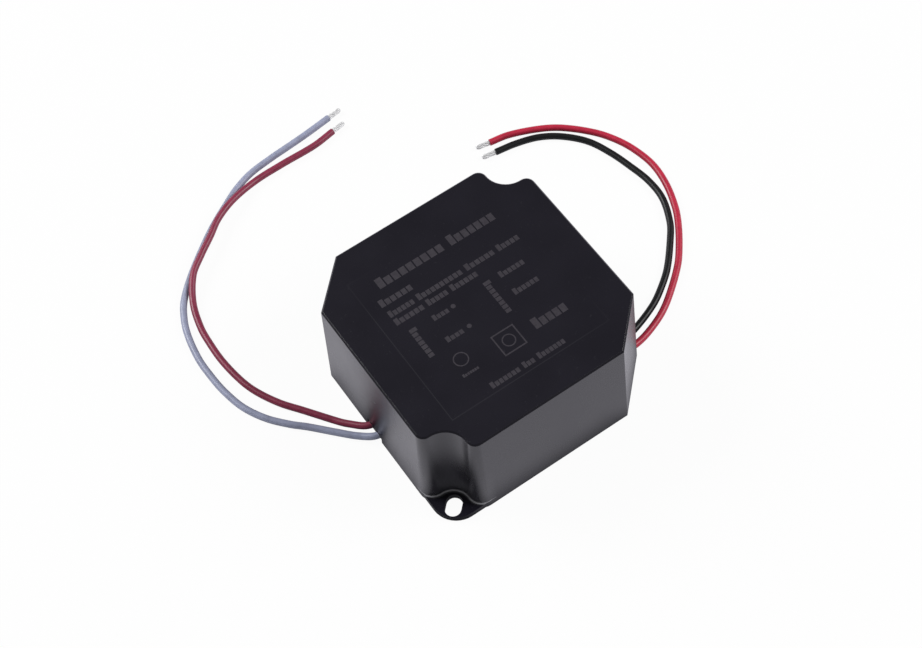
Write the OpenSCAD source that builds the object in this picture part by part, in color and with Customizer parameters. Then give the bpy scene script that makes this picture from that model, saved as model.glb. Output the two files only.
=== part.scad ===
// Potted switching power supply in a square plastic case with two mounting ears.
// The case is an upturned cup: the board hangs component side up inside it, the potting
// compound fills it from below, and the leads leave through a window at the rim on each side.
// X and Y run along the sides of the case here, Z is up, and the origin is the centre of the
// base. Each piece is then turned so that X runs through the two mounting slots.

/* [Case] */
// Side of the square base, flat to flat
body_w = 64; // [62:0.5:68]
// Overall height
body_h = 30; // [29:0.5:36]
// How far each wall leans inward over the height
draft = 1.35; // [0.6:0.05:1.5]
// Thickness of the side walls
wall = 2; // [1.5:0.1:2.2]
// Thickness of the top
top_wall = 2; // [1.5:0.1:2.5]
// Leg of the two plain corner chamfers at the base
chamfer = 11.9; // [9:0.1:13]
// Bevel along the top edge
edge_break = 0.4; // [0.2:0.1:0.8]
// Field for the rating marks, along X
panel_x = 43.5; // [30:0.5:46]
// Field for the rating marks, along Y
panel_y = 44; // [30:0.5:46]
// How far the field lies below the top face
panel_depth = 0.1; // [0.05:0.05:0.5]

/* [Mounting ears] */
// Thickness of the ear plates
ear_t = 1.8; // [1.5:0.1:3]
// Corner radius of the ear plates
ear_r = 6.6; // [5:0.1:7.4]
// How far an ear's sides lie inside the wall's foot
ear_inset = 0.25; // [0.2:0.05:0.4]
// Length of an ear along each wall, from the square's corner
ear_reach = 14; // [13:0.5:16]
// Width of the screw slot
slot_w = 4; // [3.4:0.1:4.4]
// Length of the screw slot, end to end
slot_l = 5.6; // [5:0.1:6.2]
// From the square's corner in to the slot's centre, along the diagonal
slot_inset = 6.15; // [5.8:0.05:6.6]
// Radius at the foot of the notch that clears the screw head
notch_r = 4.6; // [4.2:0.1:4.8]
// Radius at the foot of the case's rounded shoulders beside the notch
shoulder_r = 3.6; // [3.4:0.1:4]
// Width of the fillet between case and ear
ear_fillet = 0.4; // [0.2:0.05:0.5]

/* [Potting and board] */
// How far the potting stays above the rim
pot_recess = 0.8; // [0.3:0.1:1.2]
// How far the potting stays inside the window's outer face
plug_recess = 0.35; // [0.3:0.05:0.6]
// Clear space between the board's edge and the wall's foot
board_clear = 2; // [1.5:0.1:2.5]
// Leg of the board's corner cuts
board_cut = 10.5; // [10:0.1:13]
// Thickness of the board
board_t = 1.6; // [1:0.1:2]
// Height of the board's underside above the rim
board_z = 4.2; // [3.9:0.1:5]

/* [Leads] */
// Outside diameter of a lead
lead_d = 1.8; // [1.6:0.05:1.9]
// Diameter of a bare tinned end
tip_d = 1.3; // [1:0.05:1.4]
// Length of a bare tinned end
tip_l = 3.9; // [3:0.1:6]
// Distance between the two leads in a window
lead_pitch = 3.4; // [3:0.1:3.6]
// Height of the leads in the window
lead_z = 2.1; // [1.8:0.1:2.2]
// Middle of the input pair along its wall
input_y = 0; // [-2:0.1:2]
// Middle of the output pair along its wall
output_y = -16.8; // [-16.8:0.1:-15.5]
// Clear space round the leads in the window
window_gap = 0.4; // [0.2:0.1:0.4]

/* [Input side parts] */
// Diameter of the fuse
fuse_d = 8.4; // [7.5:0.1:9]
// Height of the fuse
fuse_h = 8; // [6:0.5:10]
// Diameter of the surge absorber's disc
varistor_d = 9; // [7:0.5:10]
// Thickness of the disc
varistor_t = 4; // [3:0.5:5]
// Interference capacitor, across
xcap_w = 6; // [5:0.5:7]
// Interference capacitor, along
xcap_l = 13; // [11:0.5:14]
// Interference capacitor, height
xcap_h = 12; // [9:0.5:14]
// Outside diameter of the choke's ring core
ring_d = 12; // [11:0.5:13]
// Hole of the ring core
ring_bore = 6.6; // [6:0.1:7.5]
// Height of the ring core
ring_h = 5.6; // [4:0.2:8]
// Thickness of the choke's windings
choke_wire = 1.2; // [0.8:0.1:1.4]
// Diameter of the bulk capacitor
bulk_d = 16; // [14:0.5:17]
// Potting above the bulk capacitor, the tallest part
bulk_cover = 2.2; // [1.5:0.1:4]

/* [Transformer] */
// Length of the core, along X
core_l = 19; // [18:0.5:20]
// Width of the core, along Y
core_w = 20; // [19:0.5:21]
// Thickness of the core
core_t = 6; // [5:0.5:7]
// Width of the core's middle leg
core_leg = 5; // [4.5:0.1:5.5]
// Width of the core's outer legs and yokes
core_yoke = 3; // [2.6:0.1:3.2]
// Height of the bobbin above the board
bobbin_h = 15.5; // [14:0.5:17]

/* [Output side parts] */
// Diameter of the output capacitors
outcap_d = 10; // [8:0.5:10.5]
// Height of the output capacitors
outcap_h = 16; // [12:0.5:20]
// Diameter of the output choke
drum_d = 7; // [6:0.2:7.6]
// Height of the output choke
drum_h = 8; // [6:0.5:10]
// Diameter of the output rectifier's body
rectifier_d = 5.2; // [4:0.2:5.6]
// Length of the output rectifier's body
rectifier_l = 9.4; // [8:0.2:10]

/* [Hidden] */
$fn = 48;

// Case outline
half = body_w / 2;
corner_u = body_w / sqrt(2);
slot_u = corner_u - slot_inset;
slot_run = (slot_l - slot_w) / 2;
notch_c = [1, 1] * (slot_u + slot_run) / sqrt(2);
shoulder_x = half - shoulder_r;
shoulder_drop = sqrt(pow(notch_r + shoulder_r, 2) - pow(notch_c.x - shoulder_x, 2));
shoulder_c = [shoulder_x, notch_c.y - shoulder_drop];
meet_angle = atan2(notch_c.y - shoulder_c.y, notch_c.x - shoulder_c.x);
shoulder_steps = 9;
notch_steps = 12;
cavity_h = body_h - top_wall;
over = 1;

// Cable windows
window_w = lead_pitch + lead_d + 2 * window_gap;
window_h = lead_z + lead_d / 2 + window_gap;
lead_gap = 0.05;

// Board
b_half = half - wall - board_clear;
top_z = board_z + board_t;
bulk_h = cavity_h - top_z - bulk_cover;
pin_d = 0.8;
pin_gap = 0.1;
pin_out = 1.5;
joint_d = 2;
joint_flare = 0.15;
joint_neck = pin_d + 2 * joint_flare;
joint_h = 1.2;
joint_gap = 0.05;
pad_inset = 3.5;
pad_x = b_half - pad_inset;
end_run = 0.7;
lead_start = pad_x + end_run;
end_d = 1.2;
end_above = 0.8;

// Places of the parts on the board, from its middle, as shares of its half width
fuse_at = b_half * [-0.52, 0.73];
varistor_at = b_half * [-0.82, -0.32];
xcap_at = b_half * [-0.82, 0.39];
choke_at = b_half * [-0.5, -0.7];
bridge_at = b_half * [-0.46, 0.04];
bulk_at = b_half * [0, 0.66];
resistor_at = b_half * [-0.47, 0.46];
diode_at = b_half * [-0.47, 0.3];
film_at = b_half * [-0.47, -0.22];
chip_at = b_half * [0.03, -0.7];
transformer_at = b_half * [0.14, -0.11];
opto_at = b_half * [0.36, -0.7];
ycap_at = b_half * [0.43, 0.41];
rectifier_at = b_half * [0.59, 0.71];
outcap_at = [b_half * [0.77, 0.3], b_half * [0.77, -0.125]];
drum_at = b_half * [0.7, -0.46];
shunt_at = b_half * [0.61, -0.71];
trickle_at = [b_half * [0.02, -0.91], b_half * [0.38, -0.91]];

// Sizes of the small standard parts
pitch = 2.54;
dip_row = 7.62;
dip_body = 6.4;
dip_h = 3.4;
dip_lift = 0.5;
dip_leg_t = 0.3;
dip_leg_w = 1.2;
bridge_l = 8.4;
chip_l = 9.4;
opto_l = 4.6;
ycap_d = 7;
ycap_t = 3.4;
disc_lift = 1.5;
film_size = [7, 3.4, 7];
shunt_d = 4.8;
shunt_flat = 1.3;
shunt_h = 4.7;
shunt_lift = 1.5;
shunt_pitch = 1.9;
axial_lift = 0.5;
axial_wire_d = 0.7;
resistor_d = 3.4;
resistor_l = 7.6;
resistor_span = 9.8;
diode_d = 2.7;
diode_l = 5.2;
diode_span = 8.6;
trickle_d = 2.2;
trickle_l = 5;
trickle_span = 7.2;
rectifier_wire = 1.6;
rectifier_span = rectifier_l + 2 * rectifier_wire;
xcap_pitch = 10;
bulk_pitch = 7.5;
standing_pitch = 5;
drum_pitch = 4;
bobbin_pitch = 4;
bobbin_edge = 1;
can_rim = 0.4;
can_groove = [1.5, 2, 2.5];

// Pins: a list of board positions for each part
function pair(at, gap, along) = [at - along * gap / 2, at + along * gap / 2];
function rows(at, n, gap, row) = [
    for (side = [-1, 1], i = [0:n - 1]) at + [(i - (n - 1) / 2) * gap, side * row / 2]
];
ALONG_X = [1, 0];
ALONG_Y = [0, 1];
fuse_pins = pair(fuse_at, 2 * pitch, ALONG_X);
varistor_pins = pair(varistor_at, standing_pitch, ALONG_Y);
xcap_pins = pair(xcap_at, xcap_pitch, ALONG_Y);
choke_pin_a = 35;
choke_r = (ring_d + choke_wire) / 2;
choke_pins = [
    for (side = [0, 180], a = [-choke_pin_a, choke_pin_a])
        choke_at + choke_r * [cos(side + a), sin(side + a)]
];
bridge_pins = rows(bridge_at, 2, 2 * pitch, dip_row);
bulk_pins = pair(bulk_at, bulk_pitch, ALONG_X);
resistor_pins = pair(resistor_at, resistor_span, ALONG_X);
diode_pins = pair(diode_at, diode_span, ALONG_X);
film_pins = pair(film_at, standing_pitch, ALONG_X);
chip_pins = rows(chip_at, 4, pitch, dip_row);
bobbin_row = core_l - 2 * bobbin_edge;
bobbin_pins = [
    for (side = [-1, 1], i = [-1.5:1.5]) transformer_at + [side * bobbin_row / 2, i * bobbin_pitch]
];
opto_pins = rows(opto_at, 2, pitch, dip_row);
ycap_pins = pair(ycap_at, standing_pitch, ALONG_X);
rectifier_pins = pair(rectifier_at, rectifier_span, ALONG_X);
outcap_pins = [for (at = outcap_at) each pair(at, standing_pitch, ALONG_X)];
drum_pins = pair(drum_at, drum_pitch, ALONG_X);
shunt_pins = [for (i = [-1:1]) shunt_at + [i * shunt_pitch, 0]];
trickle_pins = [for (at = trickle_at) each pair(at, trickle_span, ALONG_X)];
PART_PINS = concat(
    fuse_pins, varistor_pins, xcap_pins, choke_pins, bridge_pins, bulk_pins, resistor_pins,
    diode_pins, film_pins, chip_pins, bobbin_pins, opto_pins, ycap_pins, rectifier_pins,
    outcap_pins, drum_pins, shunt_pins, trickle_pins
);
LEAD_PADS = [
    for (s = [-1, 1], i = [-1, 1]) [s * pad_x, (s < 0 ? input_y : output_y) + i * lead_pitch / 2]
];

// Routes of the leads: each starts at its pad, runs straight out of the window, and then
// lies on the ground, apart from the stretch where the brown one rests on the blue one.
function start(side, y) = [[side * lead_start, y, lead_z], [side * half, y, lead_z]];
BROWN_ROUTE = concat(start(-1, input_y + lead_pitch / 2), [
    [-36, 5.5, 1.3], [-38.5, 9, 0.9], [-43, 15.5, 0.9], [-46.5, 20.5, 0.9], [-49.5, 26.5, 0.9],
    [-51, 31.5, 0.9], [-52, 39, 0.9], [-52, 45.5, 0.9], [-51.5, 51, 1], [-49.5, 58, 1.5],
    [-45.5, 64.5, 2.6], [-41, 68.3, 2.8], [-36, 72, 2.8], [-31.5, 75.5, 2.8],
    [-25.5, 78.5, 2.4], [-17.5, 81, 1.1], [-9, 81.5, 0.9], [1.5, 81.5, 0.9], [8, 82.5, 0.9]
]);
BLUE_ROUTE = concat(start(-1, input_y - lead_pitch / 2), [
    [-35.5, 1, 1.3], [-40, 6, 0.9], [-44.5, 11, 0.9], [-47.5, 14, 0.9], [-51.5, 19, 0.9],
    [-54.5, 25, 0.9], [-56, 31.5, 0.9], [-56.5, 37, 0.9], [-56.5, 43.5, 0.9], [-55, 52, 0.9],
    [-52.5, 58, 0.9], [-50, 61.5, 0.9], [-45.5, 66, 0.9], [-39.5, 71, 0.9], [-33.5, 75.5, 0.9],
    [-27, 79.5, 0.9], [-22.5, 82, 0.9], [-17, 84, 0.9], [-10, 85, 0.9], [-4, 85.5, 0.9],
    [1.5, 86, 0.9], [9.5, 87, 0.9]
]);
RED_ROUTE = concat(start(1, output_y - lead_pitch / 2), [
    [36.5, -17.5, 1.3], [43, -15, 0.9], [48, -12, 0.9], [55.5, -6, 0.9], [59.5, -1.5, 0.9],
    [63.5, 4, 0.9], [66, 8.5, 0.9], [68.5, 15.5, 0.9], [69.5, 22.5, 0.9], [68.5, 29.5, 0.9],
    [66.5, 35, 0.9], [63.5, 40, 0.9], [58, 46, 0.9], [53, 49.5, 0.9], [45, 53, 0.9],
    [39.5, 54, 0.9]
]);
BLACK_ROUTE = concat(start(1, output_y + lead_pitch / 2), [
    [35.5, -14.5, 1.3], [43.5, -11.5, 0.9], [48.5, -8.5, 0.9], [53, -5, 0.9], [59, 1.5, 0.9],
    [62, 5.5, 0.9], [65, 12.5, 0.9], [65.5, 19, 0.9], [64.5, 25.5, 0.9], [63, 32, 0.9],
    [60.5, 38.5, 0.9], [56, 44, 0.9], [51, 47.5, 0.9], [45, 49.5, 0.9], [39, 50.5, 0.9]
]);

// Points on an arc, both ends included
function arc(c, r, from, to, steps) = [
    for (i = [0:steps]) c + r * [cos(from + (to - from) * i / steps), sin(from + (to - from) * i / steps)]
];
function inner_points(list) = [for (i = [1:len(list) - 2]) list[i]];
function flip(p) = [p.y, p.x];

// One eared corner of the case's outline, moved inward by d
function ear_corner(d) = concat(
    arc(shoulder_c, shoulder_r - d, 0, meet_angle, shoulder_steps),
    inner_points(arc(notch_c, notch_r + d, meet_angle - 180, -90 - meet_angle, notch_steps)),
    arc(flip(shoulder_c), shoulder_r - d, 90 - meet_angle, 90, shoulder_steps)
);
function cut_corner(d) = let (h = half - d, leg = chamfer - d * (2 - sqrt(2))) [
    [-(h - leg), h], [-h, h - leg]
];
function outline(d) = concat(
    ear_corner(d), cut_corner(d), [for (p = ear_corner(d)) -p], [for (p = cut_corner(d)) -p]
);

// A closed solid through outlines at several heights: levels is a list of [z, inset]
module loft(levels) {
    n = len(outline(0));
    points = [for (level = levels) each [for (p = outline(level[1])) [p.x, p.y, level[0]]]];
    last = (len(levels) - 1) * n;
    sides = [
        for (k = [0:len(levels) - 2], i = [0:n - 1])
            let (j = (i + 1) % n) [k * n + i, k * n + n + i, k * n + n + j, k * n + j]
    ];
    polyhedron(points, concat(
        [[for (i = [0:n - 1]) i]], sides, [[for (i = [n - 1:-1:0]) last + i]]
    ));
}

function lean(z) = draft * z / body_h;

// A square-cornered plate's outline with the outer corner rounded
module ear_outline() {
    near = half - ear_reach;
    far = half - ear_inset;
    polygon(concat([[near, near], [far, near]], arc([1, 1] * (far - ear_r), ear_r, 0, 90, 10), [[near, far]]));
}

module ears() {
    for (turn = [0, 180]) rotate([0, 0, turn]) children();
}

module slot_cut() {
    rotate([0, 0, 45]) translate([slot_u, 0, -over]) {
        for (s = [-1, 1]) translate([s * slot_run, 0, 0]) cylinder(d = slot_w, h = ear_t + 2 * over);
        translate([-slot_run, -slot_w / 2, 0]) cube([2 * slot_run, slot_w, ear_t + 2 * over]);
    }
}

module window_cut(side, y, depth) {
    translate([side > 0 ? half - depth : -half - over, y - window_w / 2, -over])
        cube([depth + over, window_w, window_h + over]);
}

// The ear plates, with a sloping fillet that runs on into the case's wall
module ear_plates() {
    intersection() {
        ears() translate([0, 0, -over]) linear_extrude(ear_t + 2 * ear_fillet + 2 * over) ear_outline();
        union() {
            translate([-body_w, -body_w, -3 * over]) cube([2 * body_w, 2 * body_w, ear_t + 3 * over]);
            loft([[-4 * over, -ear_fillet], [ear_t, -ear_fillet], [ear_t + 2 * ear_fillet, ear_fillet]]);
        }
    }
}

// The outside of the moulding: case and ears reach below the ground and are cut level there
module blank() {
    difference() {
        union() {
            loft([
                [-2 * over, lean(-2 * over)], [body_h - edge_break, lean(body_h - edge_break)],
                [body_h, lean(body_h - edge_break) + edge_break]
            ]);
            ear_plates();
        }
        translate([-body_w, -body_w, -body_h]) cube([2 * body_w, 2 * body_w, body_h]);
    }
}

module housing() {
    color([0.14, 0.14, 0.16]) difference() {
        blank();
        loft([[-over, wall + lean(-over)], [cavity_h, wall + lean(cavity_h)]]);
        ears() slot_cut();
        window_cut(-1, input_y, wall + over);
        window_cut(1, output_y, wall + over);
        translate([-panel_x / 2, -panel_y / 2, body_h - panel_depth]) cube([panel_x, panel_y, over]);
    }
}

module potting_fill() {
    loft([[pot_recess, wall + lean(pot_recess)], [cavity_h, wall + lean(cavity_h)]]);
    for (s = [-1, 1])
        translate([
            s > 0 ? half - wall - over : -half + plug_recess,
            (s > 0 ? output_y : input_y) - window_w / 2, pot_recess
        ])
            cube([wall + over - plug_recess, window_w, window_h - pot_recess]);
}

module lead_bores() {
    for (p = LEAD_PADS) {
        s = sign(p.x);
        translate([s * lead_start, p.y, lead_z]) rotate([0, s * 90, 0])
            cylinder(d = lead_d + 2 * lead_gap, h = half + over - lead_start, $fn = 24);
    }
}

module joint(d_pin, gap) {
    translate([0, 0, -joint_h]) cylinder(d1 = d_pin + 2 * (joint_flare + gap), d2 = joint_d + 2 * gap, h = joint_h, $fn = 24);
}

module potting() {
    color([0.10, 0.10, 0.11]) difference() {
        potting_fill();
        translate([0, 0, board_z]) linear_extrude(board_t) board_outline();
        for (p = PART_PINS) translate([p.x, p.y, board_z - pin_out])
            cylinder(d1 = joint_neck + 2 * joint_gap, d2 = joint_d + 2 * joint_gap, h = pin_out, $fn = 24);
        for (p = LEAD_PADS) translate([p.x, p.y, board_z]) joint(end_d, joint_gap);
        lead_bores();
        lead_end_bodies();
        fuse_body();
        varistor_body();
        xcap_body();
        choke_space();
        bridge_body();
        bulk_body();
        resistor_body();
        diode_body();
        film_body();
        chip_body();
        transformer_space();
        opto_body();
        ycap_body();
        rectifier_body();
        outcap_bodies();
        drum_space();
        shunt_body();
        trickle_bodies();
    }
}

module board_outline() {
    b = b_half;
    a = b - board_cut;
    polygon([[-a, -b], [a, -b], [b, -a], [b, a], [a, b], [-a, b], [-b, a], [-b, -a]]);
}

module circuit_board() {
    color([0.13, 0.42, 0.22]) translate([0, 0, board_z]) difference() {
        linear_extrude(board_t) board_outline();
        for (p = PART_PINS) translate([p.x, p.y, -over])
            cylinder(d = pin_d + 2 * pin_gap, h = board_t + 2 * over, $fn = 16);
        for (p = LEAD_PADS) translate([p.x, p.y, -over])
            cylinder(d = end_d + 2 * pin_gap, h = board_t + 2 * over, $fn = 16);
    }
}

module solder_joints() {
    color([0.78, 0.78, 0.80]) {
        for (p = PART_PINS) translate([p.x, p.y, board_z - joint_h]) difference() {
            cylinder(d1 = joint_neck, d2 = joint_d, h = joint_h, $fn = 24);
            translate([0, 0, -over]) cylinder(d = pin_d + 2 * joint_gap, h = joint_h + 2 * over, $fn = 16);
        }
        for (p = LEAD_PADS) translate([p.x, p.y, board_z]) difference() {
            joint(end_d, 0);
            translate([0, 0, -joint_h - over])
                cylinder(d = end_d + 2 * joint_gap, h = joint_h + 2 * over, $fn = 16);
        }
    }
}

// Bare inner ends of the leads, turned up into their pads
module lead_end_bodies() {
    for (p = LEAD_PADS) {
        s = sign(p.x);
        translate([s * lead_start, p.y, lead_z]) rotate([0, -s * 90, 0])
            cylinder(d = end_d, h = end_run, $fn = 16);
        translate([p.x, p.y, lead_z - end_d / 2])
            cylinder(d = end_d, h = top_z + end_above - lead_z + end_d / 2, $fn = 16);
    }
}

module lead_ends() {
    color([0.82, 0.72, 0.60]) lead_end_bodies();
}

// Pins from inside the part down through the board
module pins(list, up) {
    for (p = list) translate([p.x, p.y, board_z - pin_out])
        cylinder(d = pin_d, h = pin_out + board_t + up, $fn = 16);
}

module fuse_body() {
    translate([fuse_at.x, fuse_at.y, top_z]) cylinder(d = fuse_d, h = fuse_h);
}

module fuse() {
    color([0.25, 0.16, 0.10]) {
        fuse_body();
        pins(fuse_pins, 1);
    }
}

// A round disc with sloping edges, standing on its rim
module disc(d, t) {
    rotate_extrude() polygon([
        [0, -t / 2], [d / 2 - t / 3, -t / 2], [d / 2, -t / 6], [d / 2, t / 6],
        [d / 2 - t / 3, t / 2], [0, t / 2]
    ]);
}

module varistor_body() {
    translate([varistor_at.x, varistor_at.y, top_z + disc_lift + varistor_d / 2])
        rotate([0, 90, 0]) disc(varistor_d, varistor_t);
    pins_above(varistor_pins, disc_lift + varistor_d / 4);
}

// The free stretch of a standing part's pins, between board and body
module pins_above(list, h) {
    for (p = list) translate([p.x, p.y, top_z]) cylinder(d = pin_d, h = h, $fn = 16);
}

module varistor() {
    color([0.16, 0.30, 0.60]) {
        varistor_body();
        pins(varistor_pins, 1);
    }
}

module xcap_body() {
    translate([xcap_at.x - xcap_w / 2, xcap_at.y - xcap_l / 2, top_z]) cube([xcap_w, xcap_l, xcap_h]);
}

module x_capacitor() {
    color([0.85, 0.70, 0.20]) {
        xcap_body();
        pins(xcap_pins, 1);
    }
}

choke_top = ring_h + 2 * choke_wire;
winding_span = 110;

module choke_space() {
    translate([choke_at.x, choke_at.y, top_z]) difference() {
        cylinder(d = ring_d + 2 * choke_wire, h = choke_top);
        translate([0, 0, -over]) cylinder(d = ring_bore - 2 * choke_wire, h = choke_top + 2 * over);
    }
}

module choke_core() {
    color([0.30, 0.30, 0.32]) translate([choke_at.x, choke_at.y, top_z + choke_wire])
        rotate_extrude() translate([ring_bore / 2, 0]) square([(ring_d - ring_bore) / 2, ring_h]);
}

module choke_windings() {
    color([0.72, 0.40, 0.20]) {
        for (side = [0, 180]) translate([choke_at.x, choke_at.y, top_z])
            rotate([0, 0, side - winding_span / 2]) rotate_extrude(angle = winding_span) difference() {
                translate([ring_bore / 2 - choke_wire, 0])
                    square([(ring_d - ring_bore) / 2 + 2 * choke_wire, choke_top]);
                translate([ring_bore / 2 - joint_gap, choke_wire - joint_gap])
                    square([(ring_d - ring_bore) / 2 + 2 * joint_gap, ring_h + 2 * joint_gap]);
            }
        pins(choke_pins, choke_wire / 2);
    }
}

// A dual in-line package: body, and legs that step out and down to the board
module dip(at, n, gap, body_l) {
    translate([at.x, at.y, top_z]) {
        translate([-body_l / 2, -dip_body / 2, dip_lift]) cube([body_l, dip_body, dip_h - dip_lift]);
        for (i = [0:n - 1], s = [-1, 1]) translate([(i - (n - 1) / 2) * gap - dip_leg_w / 2, 0, 0]) {
            translate([0, s > 0 ? dip_body / 2 - over : -dip_row / 2 - dip_leg_t / 2, dip_h / 2])
                cube([dip_leg_w, (dip_row - dip_body + dip_leg_t) / 2 + over, dip_leg_t]);
            translate([0, s * dip_row / 2 - dip_leg_t / 2, 0]) cube([dip_leg_w, dip_leg_t, dip_h / 2 + dip_leg_t]);
        }
    }
}

module bridge_body() {
    dip(bridge_at, 2, 2 * pitch, bridge_l);
}

module bridge_rectifier() {
    color([0.12, 0.12, 0.13]) {
        bridge_body();
        pins(bridge_pins, 0);
    }
}

module chip_body() {
    dip(chip_at, 4, pitch, chip_l);
}

module controller_chip() {
    color([0.12, 0.12, 0.13]) {
        chip_body();
        pins(chip_pins, 0);
    }
}

module opto_body() {
    dip(opto_at, 2, pitch, opto_l);
}

module optocoupler() {
    color([0.85, 0.85, 0.82]) {
        opto_body();
        pins(opto_pins, 0);
    }
}

// An electrolytic can with its crimp groove and bevelled rims
module can(at, d, h) {
    r = d / 2;
    inner = r - can_rim;
    translate([at.x, at.y, top_z]) rotate_extrude() polygon([
        [0, 0], [inner, 0], [r, can_rim], [r, can_groove[0]], [inner, can_groove[1]], [r, can_groove[2]],
        [r, h - can_rim], [inner, h], [0, h]
    ]);
}

module bulk_body() {
    can(bulk_at, bulk_d, bulk_h);
}

module bulk_capacitor() {
    color([0.10, 0.10, 0.30]) {
        bulk_body();
        pins(bulk_pins, 1);
    }
}

module outcap_bodies() {
    for (at = outcap_at) can(at, outcap_d, outcap_h);
}

module output_capacitors() {
    color([0.10, 0.25, 0.20]) {
        outcap_bodies();
        pins(outcap_pins, 1);
    }
}

// A part that lies along X on two bent wires
module axial(at, d, l, span) {
    z = top_z + axial_lift + d / 2;
    wire_l = span + pin_d;
    translate([at.x - l / 2, at.y, z]) rotate([0, 90, 0]) cylinder(d = d, h = l, $fn = 32);
    translate([at.x - wire_l / 2, at.y, z]) rotate([0, 90, 0]) cylinder(d = axial_wire_d, h = wire_l, $fn = 16);
    for (s = [-1, 1]) translate([at.x + s * span / 2, at.y, top_z]) cylinder(d = pin_d, h = z - top_z, $fn = 16);
}

module resistor_body() {
    axial(resistor_at, resistor_d, resistor_l, resistor_span);
}

module snubber_resistor() {
    color([0.55, 0.62, 0.66]) {
        resistor_body();
        pins(resistor_pins, 0);
    }
}

module diode_body() {
    axial(diode_at, diode_d, diode_l, diode_span);
}

module snubber_diode() {
    color([0.12, 0.12, 0.13]) {
        diode_body();
        pins(diode_pins, 0);
    }
}

module rectifier_body() {
    axial(rectifier_at, rectifier_d, rectifier_l, rectifier_span);
}

module output_rectifier() {
    color([0.12, 0.12, 0.13]) {
        rectifier_body();
        pins(rectifier_pins, 0);
    }
}

module trickle_bodies() {
    for (at = trickle_at) axial(at, trickle_d, trickle_l, trickle_span);
}

module small_resistors() {
    color([0.80, 0.70, 0.50]) {
        trickle_bodies();
        pins(trickle_pins, 0);
    }
}

module film_body() {
    translate([film_at.x - film_size.x / 2, film_at.y - film_size.y / 2, top_z]) cube(film_size);
}

module snubber_capacitor() {
    color([0.55, 0.15, 0.12]) {
        film_body();
        pins(film_pins, 1);
    }
}

module ycap_body() {
    translate([ycap_at.x, ycap_at.y, top_z + disc_lift + ycap_d / 2])
        rotate([90, 0, 0]) disc(ycap_d, ycap_t);
    pins_above(ycap_pins, disc_lift + ycap_d / 4);
}

module y_capacitor() {
    color([0.15, 0.35, 0.65]) {
        ycap_body();
        pins(ycap_pins, 1);
    }
}

module shunt_body() {
    translate([shunt_at.x, shunt_at.y, top_z]) {
        translate([0, 0, shunt_lift]) intersection() {
            cylinder(d = shunt_d, h = shunt_h);
            translate([-shunt_d, -shunt_flat, -over]) cube([2 * shunt_d, 2 * shunt_d, shunt_h + 2 * over]);
        }
    }
    pins_above(shunt_pins, shunt_lift + over);
}

module shunt_regulator() {
    color([0.12, 0.12, 0.13]) {
        shunt_body();
        pins(shunt_pins, 1);
    }
}

// Output choke: an I-shaped core with its winding between the flanges
drum_flange = 1;
drum_core_d = drum_d / 2;
drum_wind_inset = 0.2;
drum_wind_d = drum_d - 2 * drum_wind_inset;

module drum_space() {
    translate([drum_at.x, drum_at.y, top_z]) cylinder(d = drum_d, h = drum_h);
}

module output_choke_core() {
    color([0.25, 0.25, 0.27]) {
        translate([drum_at.x, drum_at.y, top_z]) rotate_extrude() polygon([
            [0, 0], [drum_d / 2, 0], [drum_d / 2, drum_flange], [drum_core_d / 2, drum_flange],
            [drum_core_d / 2, drum_h - drum_flange], [drum_d / 2, drum_h - drum_flange],
            [drum_d / 2, drum_h], [0, drum_h]
        ]);
        pins(drum_pins, drum_flange / 2);
    }
}

module output_choke_winding() {
    color([0.72, 0.40, 0.20]) translate([drum_at.x, drum_at.y, top_z + drum_flange]) rotate_extrude()
        translate([drum_core_d / 2 + joint_gap, 0])
            square([(drum_wind_d - drum_core_d) / 2 - joint_gap, drum_h - 2 * drum_flange]);
}

// Transformer: the bobbin's tube lies along X, and the core's middle leg runs through it
core_fit = 0.1;
tube_wall = 0.7;
flange_t = 1;
flange_low = 1.5;
window_l = core_l - 2 * core_yoke;
leg_window = (core_w - core_leg) / 2 - core_yoke;
core_mid = top_z + (bobbin_h + flange_low) / 2;
bobbin_l = window_l - 2 * core_fit;
tube_y = core_leg + 2 * core_fit + 2 * tube_wall;
tube_z = core_t + 2 * core_fit + 2 * tube_wall;
flange_y = core_leg + 2 * leg_window - 2 * core_fit;
flange_z = bobbin_h - flange_low;
rail_h = 2.6;
rail_reach = core_l / 2;
tape_t = 0.3;
tape_inset_y = 0.1;
tape_inset_z = 0.4;
tape_y = flange_y - 2 * tape_inset_y;
tape_z = flange_z - 2 * tape_inset_z;

module at_transformer(z) {
    translate([transformer_at.x, transformer_at.y, z]) children();
}

module block(size) {
    translate(-size / 2) cube(size);
}

module transformer_core() {
    color([0.22, 0.22, 0.24]) at_transformer(core_mid) difference() {
        block([core_l, core_w, core_t]);
        for (s = [-1, 1]) translate([0, s * (core_leg + leg_window) / 2, 0])
            block([window_l, leg_window, core_t + 2 * over]);
    }
}

module transformer_bobbin() {
    color([0.15, 0.15, 0.16]) {
        at_transformer(core_mid) difference() {
            union() {
                block([bobbin_l, tube_y, tube_z]);
                for (s = [-1, 1]) translate([s * (bobbin_l - flange_t) / 2, 0, 0])
                    block([flange_t, flange_y, flange_z]);
            }
            block([bobbin_l + 2 * over, core_leg + 2 * core_fit, core_t + 2 * core_fit]);
        }
        for (s = [-1, 1]) at_transformer(top_z)
            translate([s > 0 ? bobbin_l / 2 - flange_t : -rail_reach, -flange_y / 2, 0])
                cube([rail_reach - bobbin_l / 2 + flange_t, flange_y, rail_h]);
        pins(bobbin_pins, 1);
    }
}

module transformer_windings() {
    color([0.72, 0.40, 0.20]) at_transformer(core_mid) difference() {
        block([bobbin_l - 2 * flange_t, tape_y - 2 * tape_t, tape_z - 2 * tape_t]);
        block([bobbin_l, tube_y, tube_z]);
    }
}

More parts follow.
